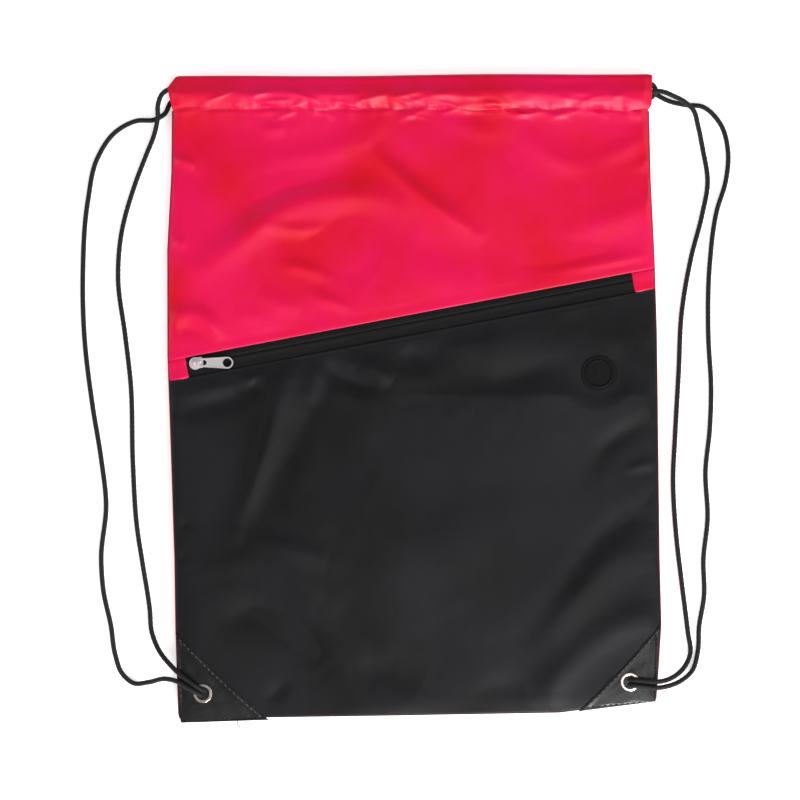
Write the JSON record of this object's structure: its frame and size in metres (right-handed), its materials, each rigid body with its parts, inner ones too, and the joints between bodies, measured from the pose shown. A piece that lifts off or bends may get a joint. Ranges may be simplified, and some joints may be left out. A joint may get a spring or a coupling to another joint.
{
  "type": "drawstring backpack",
  "caption": "Flat polyester drawstring backpack with a slanted front zip pocket, rubber earphone port, eyeletted corner patches and braided drawcord straps.",
  "frame": {"origin": "on the floor under the middle of the bag, which lies empty on its back", "axes": "+Y from the bottom seam towards the drawcord mouth, +Z out of the front face, +X to the right of someone looking at the front"},
  "size_m": [0.4616, 0.458, 0.0196],
  "materials": {
    "red_cloth": "shiny",
    "black_cloth": "satin",
    "zip_tape": "matt",
    "zip_coil": "satin",
    "nickel": "polished",
    "rubber": "matt",
    "coated_patch": "satin",
    "cord": "matt"
  },
  "bodies": {
    "bag": {"back_panel": "red_cloth", "front_panel": "red_cloth", "pocket_lining": "red_cloth", "pocket_panel": "black_cloth", "zip_tape_upper": "zip_tape", "zip_tape_lower": "zip_tape", "zip_coil_upper": "zip_coil", "zip_coil_lower": "zip_coil", "zip_end_tab_left": "red_cloth", "zip_end_tab_right": "red_cloth", "earphone_port": "rubber", "patch_front_left": "coated_patch", "patch_front_right": "coated_patch", "patch_back_left": "coated_patch", "patch_back_right": "coated_patch", "eyelet_left": "nickel", "eyelet_right": "nickel", "eyelet_washer_left": "nickel", "eyelet_washer_right": "nickel", "cord_left": "cord", "cord_right": "cord", "cord_knot_left": "cord", "cord_knot_right": "cord"},
    "slider": {"zip_slider": "nickel"},
    "pull": {"pull_tab": "nickel"}
  },
  "joints": [
    {"name": "zip_slide", "type": "slide", "parent": "bag", "child": "slider", "axis": [0.9823, 0.1874, 0], "range_m": [0, 0.306], "deforming": ["zip_coil_upper", "zip_coil_lower", "zip_tape_upper", "zip_tape_lower"]},
    {"name": "pull_flip", "type": "hinge", "parent": "slider", "child": "pull", "pos_m": [-0.15206, 0.02519, 0.014], "axis": [0, -1, 0], "range_deg": [0, 170]}
  ]
}
